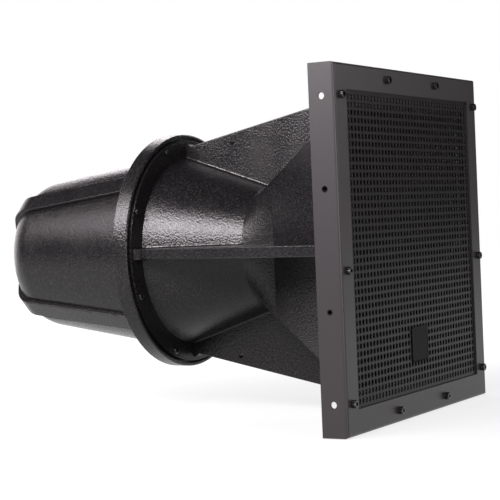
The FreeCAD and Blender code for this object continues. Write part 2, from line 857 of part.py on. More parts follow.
# Rear cover: band, shoulder, four lobes with a strip on each corner, a hub for the cable gland
# on the domed end, board posts inside
def make_rear_cover():
    soft_edge = S.band_edge_round.number
    front, back = cover_front.number, cover_back.number
    rim = band_outer.number
    band_front = flange_back.number - S.band_overlap.number
    profile = [(0, front), (band_inner.number, front), (band_inner.number, band_front),
               (rim - soft_edge, band_front), (rim, band_front + soft_edge),
               (rim, back - soft_edge), (rim - soft_edge, back), (0, back)]
    wire = Part.makePolygon([Vector(x, y, 0) for x, y in profile + profile[:1]])
    band = Part.Face(wire).revolve(Vector(0, 0, 0), Vector(0, 1, 0), 360)
    wall, end = S.cover_wall.number, cover_end.number
    hub = S.hub_dia.number / 2
    outside = grooved(lobes(0), 0)
    for ridge in crossed(rounded_strip(S.strip_width.number / 2, S.strip_edge_round.number)):
        outside = outside.fuse(ridge.cut(drum(hub, end - 3 * wall, end + 3 * wall)))
    outside = outside.fuse(drum(hub, end - 3 * wall, end))
    shell = band.fuse(outside).cut(grooved(lobes(wall), wall))
    shell = shell.cut(drum(S.gland_flats.number, end - 4 * wall, end - wall))
    shell = shell.cut(drum(cover_bore.number, front - 1, back + 1))
    posts = [drum(S.post_dia.number / 2, board_back.number, cover_end.number, x, z)
             for x, z in board_post_places()]
    for post in posts:
        shell = shell.fuse(post.common(outside))
    for x, z in board_post_places():
        shell = shell.cut(drum(S.board_screw_dia.number / 2, board_back.number - 1,
                               board_back.number + 12, x, z))
    count = int(S.cover_screw_count.number)
    for index in range(count):
        x, z = on_circle(cover_screw_radius.number, 22.5 + 360 * index / count)
        shell = shell.cut(drum(cover_insert_radius.number, front - 1,
                               front + cover_insert_depth.number, x, z))
    shell = shell.cut(drum(S.gland_thread.number / 2 + 0.2, cover_end.number - 20,
                           cover_end.number + 1))
    cover = doc.addObject("Part::Feature", "rear_cover")
    cover.Shape = shell.removeSplitter()
    cover.Placement = FreeCAD.Placement()


def board_post_places():
    across = S.board_width.number / 2 - S.post_dia.number / 2 - 1
    up = S.board_height.number / 2 - S.post_dia.number / 2 - 1
    return [(side * across, level * up) for side in (-1, 1) for level in (-1, 1)]


# Bass driver, from its gasket back to the yoke
def make_driver_gasket():
    turned("driver_gasket", ring(seat_radius + 0.5, lip_radius, flange_back, surround_front))


def make_surround():
    bend = S.surround_roll * 1.03
    inner_bend = (S.surround_roll - S.surround_thick) * 1.03
    turned("surround", [(cone_rim_inner, surround_front), (roll_inner, surround_front, bend),
                        (roll_outer, surround_front), (lip_radius, surround_front),
                        (lip_radius, basket_front),
                        (roll_outer - S.surround_thick, basket_front, -inner_bend),
                        (roll_inner + S.surround_thick, basket_front),
                        (cone_rim_inner, basket_front)])


def make_basket():
    foot = plate_radius + 4
    skirt = S.spider_radius + 0.5
    body = turned("basket", [
        (basket_radius, basket_front), (basket_radius, basket_front + S.basket_flange),
        (seat_radius - 1 + 0.2, basket_front + S.basket_flange),
        (skirt + S.basket_sheet + 0.2, spider_ledge), (foot, motor_front),
        (magnet_bore, motor_front), (magnet_bore, motor_front - S.basket_sheet),
        (foot - S.basket_sheet, motor_front - S.basket_sheet),
        (skirt - 5.5, spider_ledge), (skirt, spider_ledge),
        (seat_radius - 3, basket_front + S.basket_flange), (seat_radius - 3, basket_front)])
    doc.recompute()
    window = turn(body, [(skirt - 10, basket_front + S.basket_flange + 6),
                         (basket_radius, basket_front + S.basket_flange + 6),
                         (basket_radius, spider_ledge - 6), (skirt - 10, spider_ledge - 6)],
                  kind="Groove", angle=40)
    doc.recompute()
    around(body, [window], 6)
    doc.recompute()
    hole = new_sketch(body, "XZ_Plane", basket_front)
    circles(hole, [(driver_screw_radius, 0)], S.driver_screw_dia / 2 + S.screw_play)
    cut = pocket(body, hole, S.basket_flange)
    doc.recompute()
    around(body, [cut], S.driver_screw_count.number)


def make_driver_screws():
    body = new_body("driver_screws")
    place = [(driver_screw_radius, 0)]
    back = basket_front + S.basket_flange
    depth = S.rear_flange / 2
    shank = new_sketch(body, "XZ_Plane", flange_back - depth)
    circles(shank, place, S.driver_screw_dia / 2)
    shank_pad = pad(body, shank, back - flange_back + depth)
    head = new_sketch(body, "XZ_Plane", back)
    circles(head, place, S.driver_screw_dia * 0.85)
    head_pad = pad(body, head, S.driver_screw_dia * 0.7)
    doc.recompute()
    around(body, [shank_pad, head_pad], S.driver_screw_count.number)


def make_woofer_cone():
    neck = coil_outer + 0.05
    turned("woofer_cone", [
        (neck, cone_neck - 1.2), (cone_rim_inner, basket_front), (roll_inner, basket_front),
        (roll_inner, basket_front + S.cone_paper),
        (cone_rim_inner + 0.6, basket_front + S.cone_paper), (neck + 0.8, cone_neck),
        (neck, cone_neck)])


def make_voice_coil():
    middle = motor_front + S.plate_thick / 2
    winding = S.coil_height / 2
    turned("voice_coil", [
        (S.coil_bore / 2, cone_neck - 4), (coil_outer, cone_neck - 4),
        (coil_outer, middle - winding), (coil_outer + S.coil_wire, middle - winding),
        (coil_outer + S.coil_wire, middle + winding), (S.coil_bore / 2, middle + winding)])


def make_spider():
    """Corrugated centring disc: even waves between the coil and the basket's ledge."""
    thick, wave = S.spider_thick, S.spider_wave
    inner = coil_outer + 0.05
    flat = (S.spider_radius - inner) / 8
    front = [(inner, spider_ledge - thick)]
    waves = 9
    for index in range(waves):
        height = -wave if index % 2 else wave
        front.append((inner + flat * (1 + index * 0.75), spider_ledge - thick - wave + height))
    front.append((S.spider_radius, spider_ledge - thick))
    back = [(x, y + thick) for x, y in reversed(front)]
    turned("spider", front + back)


def make_woofer_motor():
    turned("front_plate", ring(coil_outer + S.coil_wire + S.gap_clearance, plate_radius,
                               motor_front, magnet_front))
    turned("magnet", ring(magnet_bore, S.magnet_dia / 2, magnet_front, magnet_back))
    turned("back_plate", [(throat_bore, motor_front), (pole_radius, motor_front),
                          (pole_radius, magnet_back), (plate_radius, magnet_back),
                          (plate_radius, yoke_back), (throat_bore, yoke_back)])


# Treble unit: bell in the woofer's throat, compression driver behind the yoke
def make_treble_bell():
    mouth = S.bell_mouth_dia / 2
    neck_back = motor_front - 6
    neck_front = cone_neck - 4
    turned("treble_bell", [
        (mouth - S.bell_wall, basket_front + 1), (mouth, basket_front + 1),
        (throat_bore + 3 + S.bell_wall, neck_front), (throat_bore + 1.5 + S.bell_wall, neck_back),
        (throat_bore + 1.5 + S.bell_wall, motor_front - 3), (pole_radius - 0.4, motor_front - 3),
        (pole_radius - 0.4, motor_front), (throat_bore, motor_front),
        (throat_bore + 1.5, neck_back), (throat_bore + 3, neck_front)])


def make_treble_motor():
    rim = S.treble_dia / 2
    turned("treble_yoke", [
        (throat_bore, yoke_back), (rim, yoke_back), (rim, treble_magnet_front),
        (treble_pole, treble_magnet_front), (treble_pole, treble_plate_back - 1),
        (throat_bore, treble_plate_back - 1)])
    turned("treble_magnet", ring(treble_coil_outer + 3, rim - 2, treble_magnet_front,
                                 treble_plate_front))
    top = turned("treble_plate", ring(treble_coil_outer + S.gap_clearance, rim,
                                      treble_plate_front, treble_plate_back))
    drill_treble(top, treble_plate_front, treble_plate_back, 0.05)


def drill_treble(body, front, back, play):
    doc.recompute()
    hole = new_sketch(body, "XZ_Plane", front)
    circles(hole, [(treble_screw_radius, 0)], S.board_screw_dia / 2 + play)
    cut = pocket(body, hole, back - front)
    doc.recompute()
    around(body, [cut], 3)


def make_phase_plug():
    plug = throat_bore - 0.1
    seat_front, seat_back = treble_plate_back - 8, treble_plate_back - 2
    body = turned("phase_plug", [(0, seat_front - 12), (plug * 0.55, seat_front),
                                 (plug, seat_front), (plug, seat_back), (0, seat_back)])
    doc.recompute()
    slot = turn(body, ring(plug * 0.62, plug * 0.85, seat_front - 1, seat_back + 1),
                kind="Groove", angle=90)
    doc.recompute()
    around(body, [slot], 3)


def make_treble_diaphragm():
    inner = S.treble_coil_bore / 2
    outer = treble_coil_outer
    foot = treble_plate_back + 1
    rise = S.diaphragm_rise
    bulge = (outer * outer + rise * rise) / (2 * rise)
    inner_bulge = (inner * inner + rise * rise) / (2 * rise)
    turned("treble_diaphragm", [
        (inner, treble_plate_front - 0.5), (outer, treble_plate_front - 0.5),
        (outer, foot, bulge), (0, foot + rise), (0, foot + rise - 0.5, -inner_bulge),
        (inner, foot - 0.5)])
    turned("treble_suspension", ring(outer + 0.05, treble_cap_inner - 0.5, treble_plate_back,
                                     treble_plate_back + 0.4))


def make_treble_cap():
    rim = S.treble_dia / 2
    cap_back = treble_plate_back + S.treble_cap_depth
    body = turned("treble_cap", [
        (treble_cap_inner, treble_plate_back), (rim, treble_plate_back), (rim, cap_back),
        (0, cap_back), (0, cap_back - 4), (treble_cap_inner, cap_back - 4)])
    drill_treble(body, treble_plate_back, cap_back, S.screw_play.number)
    screws = new_body("treble_screws")
    shank = new_sketch(screws, "XZ_Plane", treble_plate_front + 1)
    circles(shank, [(treble_screw_radius, 0)], S.board_screw_dia / 2)
    shank_pad = pad(screws, shank, cap_back - treble_plate_front - 1)
    head = new_sketch(screws, "XZ_Plane", cap_back)
    circles(head, [(treble_screw_radius, 0)], S.board_screw_dia * 0.9)
    head_pad = pad(screws, head, S.board_screw_dia)
    doc.recompute()
    around(screws, [shank_pad, head_pad], 3)


# Crossover with its line transformer, on posts in the cover's end
def make_crossover_board():
    body = new_body("crossover_board")
    sketch = new_sketch(body, "XZ_Plane", board_front)
    outline(sketch, rectangle(-S.board_width / 2, S.board_width / 2,
                              -S.board_height / 2, S.board_height / 2))
    circles(sketch, board_post_places(), S.board_screw_dia / 2 + S.screw_play)
    pad(body, sketch, S.board_thick)


def make_board_screws():
    body = new_body("board_screws")
    head = new_sketch(body, "XZ_Plane", board_front - S.board_head_height)
    circles(head, board_post_places(), S.board_screw_dia * 0.9)
    pad(body, head, S.board_head_height)
    shank = new_sketch(body, "XZ_Plane", board_front)
    circles(shank, board_post_places(), S.board_screw_dia / 2 - 0.05)
    pad(body, shank, S.board_thick + S.board_head_height * 4)


def on_board(label, corners=(), rounds=(), height=10.0):
    """A component that stands on the board's front face."""
    body = new_body(label)
    sketch = new_sketch(body, "XZ_Plane", board_front - height)
    for shape in corners:
        outline(sketch, rectangle(*shape))
    for place, radius in rounds:
        circles(sketch, [place], radius)
    pad(body, sketch, height)
    return body


# Row of inductors and capacitors along the board's upper edge, terminals at its lower right
board_right, board_top = S.board_width / 2, S.board_height / 2
inductor_place = (S.inductor_dia / 2 + S.post_dia + 1 - board_right,
                  board_top - S.inductor_dia / 2 - S.part_gap)
second_inductor_place = (
    inductor_place[0] + S.inductor_dia / 2 + S.part_gap + S.second_inductor_dia / 2,
    board_top - S.second_inductor_dia / 2 - S.part_gap)
capacitor_step = S.capacitor_dia + S.part_gap
capacitor_across = second_inductor_place[0] + S.second_inductor_dia / 2 + capacitor_step \
    - S.capacitor_dia / 2
capacitor_up = board_top - S.capacitor_dia / 2 - S.part_gap
terminal_right = board_right - S.part_gap - 2
terminal_left = terminal_right - S.terminal_length
terminal_bottom = S.post_dia + 3 - board_top
transformer_right = terminal_left - S.part_gap - 3


def make_crossover_parts():
    on_board("inductor_coils", height=S.inductor_height,
             rounds=[(inductor_place, S.inductor_dia / 2), (inductor_place, S.inductor_bore / 2),
                     (second_inductor_place, S.second_inductor_dia / 2),
                     (second_inductor_place, S.inductor_bore / 2 - 1)])
    on_board("capacitors", height=S.capacitor_height,
             rounds=[((capacitor_across, capacitor_up), S.capacitor_dia / 2),
                     ((capacitor_across + capacitor_step, capacitor_up - capacitor_step / 2),
                      S.capacitor_dia / 2),
                     ((capacitor_across, capacitor_up - capacitor_step), S.capacitor_dia / 2)])
    resistor_left = S.part_gap + 2 - board_right
    resistor_top = inductor_place[1] - S.inductor_dia / 2 - 1
    on_board("power_resistor", height=S.resistor_height,
             corners=[(resistor_left, resistor_left + S.resistor_length,
                       resistor_top - S.resistor_width, resistor_top)])
    terminals = on_board("terminal_block", height=S.terminal_width,
                         corners=[(terminal_left, terminal_right, terminal_bottom,
                                   terminal_bottom + S.terminal_width)])
    wire_holes = new_sketch(terminals, "XZ_Plane", board_front - S.terminal_width)
    middle = (terminal_left + terminal_right) / 2
    circles(wire_holes, [(middle + S.terminal_length * share, terminal_bottom
                          + S.terminal_width / 2) for share in (-1 / 3, 0, 1 / 3)],
            S.terminal_hole / 2)
    pocket(terminals, wire_holes, S.terminal_width / 2)


def make_transformer():
    leg, height = S.transformer_leg, S.transformer_height
    window = (S.transformer_width - leg * 4) / 2
    overhang = window - 2
    left, right = transformer_right - S.transformer_width, transformer_right
    bottom = overhang - board_top
    top = bottom + S.transformer_stack
    core = on_board("transformer_core", corners=[(left, right, bottom, top)], height=height)
    windows = new_sketch(core, "XY_Plane")
    for start in (left + leg, left + leg * 3 + window):
        outline(windows, rectangle(start, start + window, board_front - height + leg,
                                   board_front - leg))
    pocket_symmetric(core, windows, S.board_height * 2)
    winding = new_body("transformer_winding")
    play = S.winding_play
    wrap = new_sketch(winding, "XZ_Plane", board_front - height + leg + play)
    outline(wrap, rectangle(left + leg + play, right - leg - play, bottom - overhang,
                            top + overhang))
    pad(winding, wrap, height - 2 * leg - 2 * play)
    hollow = new_sketch(winding, "XZ_Plane", board_front - height)
    outline(hollow, rectangle(left + leg + window - play, right - leg - window + play,
                              bottom - play, top + play))
    pocket(winding, hollow, height)


# Cable gland at the middle of the cover's end
def make_gland():
    thread = S.gland_thread / 2
    bore = thread - 2
    inside_face = cover_end - S.cover_wall
    collar, neck, nut = S.gland_collar, S.gland_neck, S.gland_locknut
    body = new_body("gland_body")
    stem = new_sketch(body, "XZ_Plane", inside_face - nut - 2)
    circles(stem, [(0, 0)], thread)
    pad(body, stem, S.cover_wall + nut + 2 + neck)
    hexagonal = new_sketch(body, "XZ_Plane", cover_end)
    outline(hexagonal, hexagon(0, 0, S.gland_flats))
    pad(body, hexagonal, collar)
    through = new_sketch(body, "XZ_Plane", inside_face - nut - 2)
    circles(through, [(0, 0)], bore)
    pocket(body, through, S.cover_wall + nut + 2 + neck)
    turned("gland_seal", ring(S.gland_cable / 2, bore - 0.1, cover_end + 2,
                              cover_end + neck + 1))
    locknut = new_body("gland_locknut")
    flats = new_sketch(locknut, "XZ_Plane", inside_face - nut)
    outline(flats, hexagon(0, 0, S.gland_flats))
    circles(flats, [(0, 0)], thread + 0.05)
    pad(locknut, flats, nut)
    cap = new_body("gland_nut")
    front = cover_end + collar + 0.3
    grip = new_sketch(cap, "XZ_Plane", front)
    outline(grip, hexagon(0, 0, S.gland_flats))
    pad(cap, grip, S.gland_grip)
    dome = new_sketch(cap, "XZ_Plane", front + S.gland_grip)
    circles(dome, [(0, 0)], S.gland_flats / 2 - 1)
    pad(cap, dome, S.gland_grip / 3)
    well = new_sketch(cap, "XZ_Plane", front)
    circles(well, [(0, 0)], thread + 0.05)
    pocket(cap, well, neck - collar + 0.7)
    opening = new_sketch(cap, "XZ_Plane", front)
    circles(opening, [(0, 0)], S.gland_cable / 2 + 0.5)
    pocket(cap, opening, S.gland_grip * 2)


MAKERS = [
    make_front_frame, make_frame_nuts, make_front_screws, make_grille, make_badge_plate,
    make_mouth_gasket, make_horn_body, make_mouth_inserts, make_cover_gasket,
    make_flange_screws, make_cover_inserts, make_rear_cover, make_driver_gasket, make_surround,
    make_basket, make_driver_screws, make_woofer_cone, make_voice_coil, make_spider,
    make_woofer_motor, make_treble_bell, make_treble_motor, make_phase_plug,
    make_treble_diaphragm, make_treble_cap, make_crossover_board, make_board_screws,
    make_crossover_parts, make_transformer, make_gland,
]
for maker in MAKERS:
    maker()
doc.recompute()

# Every object must have solved, and every piece must be sound, before anything is written
faults = [thing.Name for thing in doc.Objects
          if "Invalid" in thing.State or "Error" in thing.State]
pieces = [thing for thing in doc.Objects
          if thing.TypeId == "PartDesign::Body" or thing.Label == "rear_cover"]
faults += [piece.Label for piece in pieces
           if piece.Shape.isNull() or not piece.Shape.isValid() or not piece.Shape.Solids]
if faults:
    raise RuntimeError("these did not build: " + ", ".join(faults))
for piece in pieces:
    piece.Shape.exportStep("parts/%s.step" % piece.Label)
    print(piece.Label, len(piece.Shape.Solids), "solid,", round(piece.Shape.Volume), "mm3")
print(len(pieces), "pieces")
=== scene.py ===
# %% [markdown]
# # A weatherproof horn loudspeaker
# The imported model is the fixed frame: every solid is already at its real size and place, in
# metres, with +Y to the rear and +Z up. This file adds what the solids leave out, such as the
# real mesh of the grille, and gives each surface its finish.

# %% Load the frame
import json
import math

import bmesh
import bpy
from mathutils import Matrix, Vector


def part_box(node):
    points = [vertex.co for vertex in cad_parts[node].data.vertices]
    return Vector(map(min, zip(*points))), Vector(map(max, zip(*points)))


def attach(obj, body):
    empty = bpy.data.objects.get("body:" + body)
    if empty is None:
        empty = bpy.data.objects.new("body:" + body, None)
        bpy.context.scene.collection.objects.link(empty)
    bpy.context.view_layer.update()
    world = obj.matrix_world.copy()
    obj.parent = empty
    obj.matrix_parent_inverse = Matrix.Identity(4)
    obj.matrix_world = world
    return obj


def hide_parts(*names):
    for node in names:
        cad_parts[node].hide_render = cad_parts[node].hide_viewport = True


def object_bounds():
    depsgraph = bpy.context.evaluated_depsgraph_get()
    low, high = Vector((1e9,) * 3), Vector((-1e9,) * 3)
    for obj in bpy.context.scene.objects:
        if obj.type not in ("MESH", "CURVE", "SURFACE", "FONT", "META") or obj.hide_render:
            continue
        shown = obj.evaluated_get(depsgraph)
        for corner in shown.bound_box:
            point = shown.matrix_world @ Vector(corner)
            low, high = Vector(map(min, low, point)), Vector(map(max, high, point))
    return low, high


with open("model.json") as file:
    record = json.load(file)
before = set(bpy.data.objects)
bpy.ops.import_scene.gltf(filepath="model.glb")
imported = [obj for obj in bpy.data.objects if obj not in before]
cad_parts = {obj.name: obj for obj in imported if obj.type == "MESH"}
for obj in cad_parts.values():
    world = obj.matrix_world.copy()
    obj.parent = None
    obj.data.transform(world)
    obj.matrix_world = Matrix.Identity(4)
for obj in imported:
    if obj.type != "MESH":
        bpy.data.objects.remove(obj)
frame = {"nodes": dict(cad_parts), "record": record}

CAD_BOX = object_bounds()
NODES = frame["nodes"]
MM = 0.001
print("nodes:", len(NODES), "box:", [tuple(round(v, 3) for v in corner) for corner in CAD_BOX])

# %% [markdown]
# ## Shader maths as plain expressions
# A finish on the real object is a few layers: a colour, how rough it is, and fine relief. In
# Blender each is a small chain of nodes. Wiring Math nodes by hand hides the sum they work out,
# so one small class wraps a socket, and `a * b + c` adds the Math nodes for us.

# %% A socket that can be added up, and a finish under construction
class Socket:
    """One output of a node. Arithmetic on it adds Math nodes to its finish."""

    def __init__(self, finish, output):
        self.finish = finish
        self.output = output

    def math(self, operation, *others):
        return self.finish.node("ShaderNodeMath", {"operation": operation}, *others)

    def __add__(self, other):
        return self.math("ADD", self, other)

    def __sub__(self, other):
        return self.math("SUBTRACT", self, other)

    def __rsub__(self, other):
        return self.math("SUBTRACT", other, self)

    def __mul__(self, other):
        return self.math("MULTIPLY", self, other)

    __radd__ = __add__
    __rmul__ = __mul__


class Finish:
    """A material whose surface is one Principled shader."""

    def __init__(self, name, **fixed):
        self.material = bpy.data.materials.new(name)
        self.material.use_nodes = True
        self.tree = self.material.node_tree
        self.shader = self.tree.nodes["Principled BSDF"]
        for socket, value in fixed.items():
            self.shader.inputs[socket.replace("_", " ")].default_value = value

    def node(self, kind, settings=None, *values, result=0, **named):
        """Add a node: its settings first, then the values or links of its sockets."""
        made = self.tree.nodes.new(kind)
        for name, value in (settings or {}).items():
            setattr(made, name, value)
        for index, value in enumerate(values):
            self.feed(made.inputs[index], value)
        for name, value in named.items():
            self.feed(made.inputs[name.replace("_", " ")], value)
        return Socket(self, made.outputs[result])

    def feed(self, target, value):
        if isinstance(value, Socket):
            self.tree.links.new(value.output, target)
        else:
            target.default_value = value

    def drive(self, socket, value):
        """Let a value that changes over the surface drive a socket of the shader."""
        self.feed(self.shader.inputs[socket], value)

    def place(self):
        return self.node("ShaderNodeTexCoord", result="Object")

    def noise(self, size, detail=2.0, roughness=0.5, stretch=(1, 1, 1)):
        """Soft random values, about 0 to 1, whose features are this many metres across."""
        spot = self.node("ShaderNodeMapping", {}, self.place(),
                         Scale=tuple(s / size for s in stretch))
        return self.node("ShaderNodeTexNoise", {}, Vector=spot, Scale=1.0, Detail=detail,
                         Roughness=roughness)

    def spread(self, value, low, high, to_low=0.0, to_high=1.0):
        """Map a stretch of values onto another, without going past its ends."""
        return self.node("ShaderNodeMapRange", {"clamp": True}, value, low, high, to_low, to_high)

    def colours(self, share, first, second):
        return self.node("ShaderNodeMix", {"data_type": "RGBA"}, result=2,
                         Factor=share, A=(*first, 1), B=(*second, 1))

    def relief(self, height, depth):
        """Raise and lower the surface by a height of 0 to 1 times this depth in metres."""
        self.drive("Normal", self.node("ShaderNodeBump", {}, Height=height, Distance=depth,
                                       Strength=1.0))

print("socket maths ready")

# %% [markdown]
# ## Where the camera stands
# The photograph was taken from the object's left and a little in front of it, almost level, with
# a long lens. The place and turn below were worked out from the corners of the frame, whose real
# size is known. The lens is given as its focal length on a 36 mm wide sensor.

# %% The camera
AZIMUTH = math.radians(-60.19)
ELEVATION = math.radians(1.33)
ROLL = math.radians(-2.44)
CAMERA_PLACE = Vector((-1.59552, -0.70076, 0.04080))
FOCAL_PIXELS = 1565.66
IMAGE_PIXELS = 500
SENSOR = 36.0


def camera_turn():
    """Columns are the camera's right, up and backward directions."""
    back = Vector((math.sin(AZIMUTH) * math.cos(ELEVATION),
                   -math.cos(AZIMUTH) * math.cos(ELEVATION), math.sin(ELEVATION)))
    right = Vector((0, 0, 1)).cross(back).normalized()
    up = back.cross(right)
    rolled_right = math.cos(ROLL) * right + math.sin(ROLL) * up
    rolled_up = math.cos(ROLL) * up - math.sin(ROLL) * right
    return Matrix((rolled_right, rolled_up, back)).transposed()


lens = bpy.data.cameras.new("camera")
lens.sensor_width = SENSOR
lens.lens = FOCAL_PIXELS * SENSOR / IMAGE_PIXELS
camera = bpy.data.objects.new("camera", lens)
camera.matrix_world = Matrix.Translation(CAMERA_PLACE) @ camera_turn().to_4x4()
bpy.context.scene.collection.objects.link(camera)
bpy.context.scene.camera = camera
print("camera", round(lens.lens, 2), "mm")

# %% [markdown]
# ## A pale studio
# A black object on white shows its form by what it mirrors. A bright soft panel up on the left
# draws the long highlights on the horn and the ring. Five weaker ones stand behind it, in front,
# at the frame's edge, at the back wall and on the right, and give each side something to mirror.
# The paper floor glows, a painted light, in a broad pool that fades to both sides, which the
# undersides and the lower rows of the grille mirror. Close to the object it glows less, a painted
# soft shadow. The backdrop is white where the camera looks at it, and dim as a light, because a
# white room all round would turn the black to grey.

# %% The room's own light
ROOM_LEVEL = 0.03


def room_light(level):
    world = bpy.data.worlds.new("room")
    bpy.context.scene.world = world
    world.use_nodes = True
    tree = world.node_tree
    seen = tree.nodes.new("ShaderNodeLightPath").outputs["Is Camera Ray"]
    brightness = tree.nodes.new("ShaderNodeMapRange")
    brightness.inputs["To Min"].default_value = level
    brightness.inputs["To Max"].default_value = 1.0
    tree.links.new(seen, brightness.inputs["Value"])
    background = tree.nodes["Background"]
    background.inputs["Color"].default_value = (1, 1, 1, 1)
    tree.links.new(brightness.outputs[0], background.inputs["Strength"])


bpy.context.scene.view_settings.view_transform = "Standard"
room_light(ROOM_LEVEL)
print("room light:", ROOM_LEVEL)

# %% Soft panels
LIGHT_TINT = (1.0, 0.94, 0.972)
PANELS = (
    # name, place, what it faces, width, height, watts
    ("upper_left_panel", (-1.3, 0.3, 0.8), (0, 0.25, 0), 1.5, 0.5, 90),
    ("rear_left_panel", (-1.16, 1.33, 0.9), (0, 0.4, 0), 0.8, 0.6, 26),
    ("front_panel", (1.2, -1.5, 0.65), (0, 0, 0), 1.0, 1.0, 14),
    ("edge_panel", (-0.9, -1.5, 0.25), (0, 0, 0), 0.4, 1.2, 20),
    ("backdrop", (1.2, 2.6, 0.35), (0, 0.4, 0), 2.6, 1.6, 28),
    ("right_panel", (1.7, 1.2, 1.0), (0, 0.3, 0), 1.2, 0.8, 11),
)


def soft_panel(name, place, aim, width, height, power):
    panel = bpy.data.lights.new(name, "AREA")
    panel.shape = "RECTANGLE"
    panel.size, panel.size_y = width, height
    panel.energy = power
    panel.color = LIGHT_TINT
    light = bpy.data.objects.new(name, panel)
    light.visible_camera = False
    place, aim = Vector(place), Vector(aim)
    turn = (place - aim).to_track_quat("Z", "Y").to_matrix().to_4x4()
    light.matrix_world = Matrix.Translation(place) @ turn
    bpy.context.scene.collection.objects.link(light)


for panel in PANELS:
    soft_panel(*panel)
print("panels:", len(PANELS))

# %% The paper floor
FLOOR_DROP = 0.8 * MM
FLOOR_REACH = 4
PAPER_GREY = 0.06
# The floor's glow is painted light: dimmer within NEAR of the middle as a painted soft shadow under
# the object, and dimmer past the sides of the pool.
NEAR, FAR, NEAR_SHADED_GLOW = 0.25, 0.9, 0.78
ACROSS_VIEW = (math.cos(AZIMUTH), math.sin(AZIMUTH), 0)
POOL_SHIFT = 0.185
POOL_HALF, POOL_END, POOL_DIM = 0.8, 1.3, 0.4


def glowing_floor_finish():
    """Paper that glows, a painted light: less close to the object, a painted soft shadow under it,
    and less again past the sides of the pool.
    """
    paper = Finish("glowing_paper_floor", Base_Color=(*(PAPER_GREY,) * 3, 1), Roughness=0.9,
                   Emission_Strength=1.0)
    distance = paper.node("ShaderNodeVectorMath", {"operation": "LENGTH"}, paper.place(), result=1)
    across = paper.node("ShaderNodeVectorMath", {"operation": "DOT_PRODUCT"}, paper.place(),
                        ACROSS_VIEW, result=1) + POOL_SHIFT
    pool = paper.spread(across.math("ABSOLUTE"), POOL_HALF, POOL_END, 1.0, POOL_DIM)
    level = paper.spread(distance, NEAR, FAR, NEAR_SHADED_GLOW, 1.0) * pool
    paper.drive("Emission Color", paper.colours(level, (0, 0, 0), (1, 1, 1)))
    return paper.material


shape = bmesh.new()
bmesh.ops.create_grid(shape, x_segments=1, y_segments=1, size=FLOOR_REACH)
bmesh.ops.translate(shape, verts=shape.verts, vec=(0, 0, CAD_BOX[0].z - FLOOR_DROP))
mesh = bpy.data.meshes.new("floor")
shape.to_mesh(mesh)
shape.free()
mesh.materials.append(glowing_floor_finish())
floor = bpy.data.objects.new("floor", mesh)
bpy.context.scene.collection.objects.link(floor)
print("floor at", round(mesh.vertices[0].co.z, 4))

# %% [markdown]
# ## Stippled black moulding
# The horn and the rear cover are glass-filled resin from a textured mould, then sprayed a
# semi-gloss black. Close up the skin is pebbled: round bumps about 2 mm across with finer grain
# on them, and it breaks each highlight into glints. Smooth noise alone looks like crumpled foil,
# so the bumps are Voronoi cells, each highest in its middle. A fine noise adds the grain, one as
# wide as the bumps paints pale specks into the colour as painted glints of the pebbles, and a
# broad one lets the gloss drift a little. The plastics of the gland, the treble bell and the
# terminals are the same skin with a shallower relief.

# %% Moulded finishes
MOULDED_GLOSS = 0.25
NOISE_SPAN = (0.3, 0.7)
DRIFT_SIZE = 60 * MM
DRIFT_SPAN = (0.35, 0.65)
FINE_SIZE = 0.42
FINE_SWING = 0.08
COARSE_SHARE = 0.75
GLINT_SPECK_SPAN = (0.5, 0.68)
GLINT_SPECK_LIFT = 4


def moulded(name, colour, glossy, dull, pebble, depth):
    finish = Finish(name, Specular_IOR_Level=MOULDED_GLOSS)
    broad = finish.noise(DRIFT_SIZE, detail=3)
    spot = finish.node("ShaderNodeMapping", {}, finish.place(), Scale=(1 / pebble,) * 3)
    coarse = 1 - finish.node("ShaderNodeTexVoronoi", {"feature": "F1"}, Vector=spot, Scale=1.0)
    fine = finish.noise(pebble * FINE_SIZE, detail=3)
    # Pale specks in the base colour are painted glints of the pebbles.
    speck = finish.spread(finish.noise(pebble, detail=2), *GLINT_SPECK_SPAN)
    finish.drive("Base Color", finish.colours(speck, colour, [GLINT_SPECK_LIFT * c for c in colour]))
    drift = finish.spread(broad, *DRIFT_SPAN, glossy, dull)
    finish.drive("Roughness", drift + finish.spread(fine, *NOISE_SPAN, FINE_SWING, -FINE_SWING))
    finish.relief(COARSE_SHARE * coarse + (1 - COARSE_SHARE) * fine, depth)
    return finish.material


MOULDED = {
    # colour, roughness where glossy, where dull, pebble and relief in millimetres
    "horn_moulding": ((0.003, 0.0028, 0.003), 0.2, 0.28, 2.0, 0.32),
    "cover_moulding": ((0.003, 0.0028, 0.003), 0.2, 0.28, 2.0, 0.32),
    "gland_plastic": ((0.012, 0.012, 0.013), 0.4, 0.5, 1.2, 0.05),
    "bell_plastic": ((0.012, 0.012, 0.012), 0.35, 0.5, 1.5, 0.08),
    "terminal_plastic": ((0.02, 0.12, 0.035), 0.4, 0.5, 1.0, 0.03),
}
FINISHES = {name: moulded(name, colour, glossy, dull, pebble * MM, depth * MM)
            for name, (colour, glossy, dull, pebble, depth) in MOULDED.items()}
print("moulded finishes:", len(FINISHES))

# %% [markdown]
# ## Powder coat
# The folded frame, the grille and the badge are sprayed with dry powder and baked. The skin is
# satin with a very fine, shallow texture, lighter grey than the horn, so it shows soft shading
# rather than glints. The screws are black oxide, which is this finish with less grain and more
# gloss.

# %% Powder coats
CLOUD_SIZE = 90 * MM
CLOUD_LIFT = 1.12
ROUGH_SWING = 0.04


def powder_coat(name, colour, rough, gloss, grain, depth):
    finish = Finish(name, Specular_IOR_Level=gloss)
    cloud = finish.noise(CLOUD_SIZE, detail=2)
    speck = finish.noise(grain, detail=2)
    finish.drive("Base Color", finish.colours(cloud, colour, [CLOUD_LIFT * c for c in colour]))
    finish.drive("Roughness", finish.spread(speck, *NOISE_SPAN, rough - ROUGH_SWING,
                                            rough + ROUGH_SWING))
    finish.relief(speck, depth)
    return finish.material


